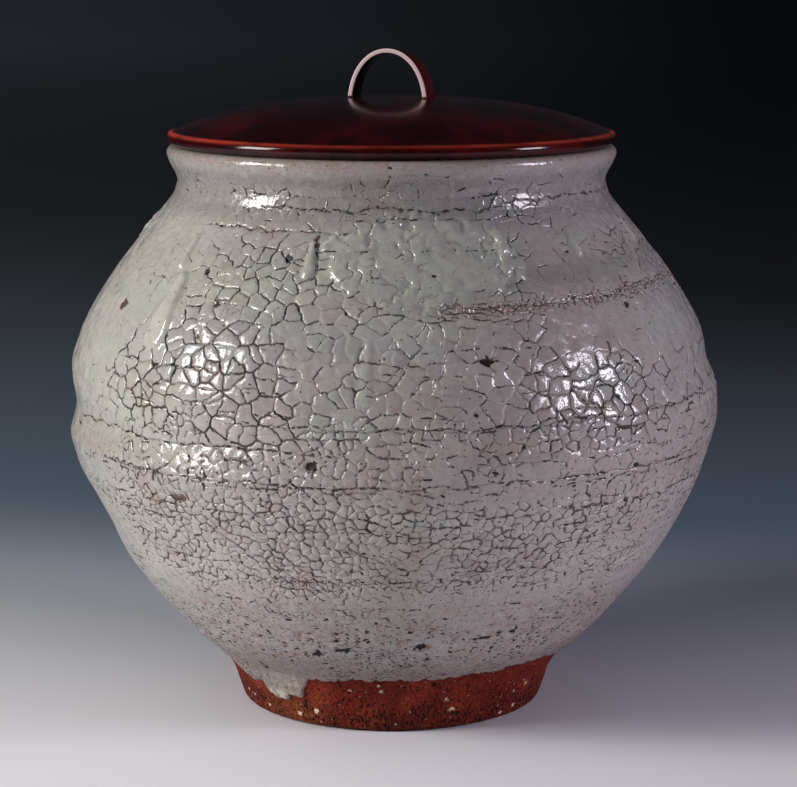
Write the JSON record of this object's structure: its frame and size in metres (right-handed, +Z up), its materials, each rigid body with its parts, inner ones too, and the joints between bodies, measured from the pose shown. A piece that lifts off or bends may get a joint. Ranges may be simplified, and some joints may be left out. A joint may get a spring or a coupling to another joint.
{
  "type": "lidded water jar",
  "caption": "Round-bellied stoneware water jar with a crackled pale glaze, a bare clay foot ring, and a lift-off lacquered lid with an arched strip handle.",
  "frame": {"origin": "centre of the foot ring's underside, on the ground", "axes": "+Z up along the jar's axis, +X along the handle's span, +Y across the strip"},
  "size_m": [0.2036, 0.2036, 0.2026],
  "materials": {
    "bare_clay": "bare iron-red stoneware, matte, with pale grog specks and dark pores",
    "crackle_glaze": "thick grey-white glaze with brown-stained crackle, glossy where thick and satin where thin",
    "lining_glaze": "thin grey-white glaze with fine crackle",
    "lid_lacquer": "deep red-brown lacquer on turned wood, polished, redder along worn edges",
    "hoop_lacquer": "dark red-brown lacquer on bent wood, polished"
  },
  "bodies": {
    "jar": {"foot_ring": "bare_clay", "lower_bowl": "bare_clay", "upper_bowl": "bare_clay", "neck_collar": "bare_clay", "lower_glaze": "crackle_glaze", "upper_glaze": "crackle_glaze", "glaze_lining": "lining_glaze"},
    "lid": {"lid_board": "lid_lacquer", "lid_hoop": "hoop_lacquer", "lid_handle": "lid_lacquer"}
  },
  "joints": [
    {"name": "lid_lift", "type": "slide", "parent": "jar", "child": "lid", "axis": [0, 0, 1], "range_m": [0, 0.1]}
  ]
}
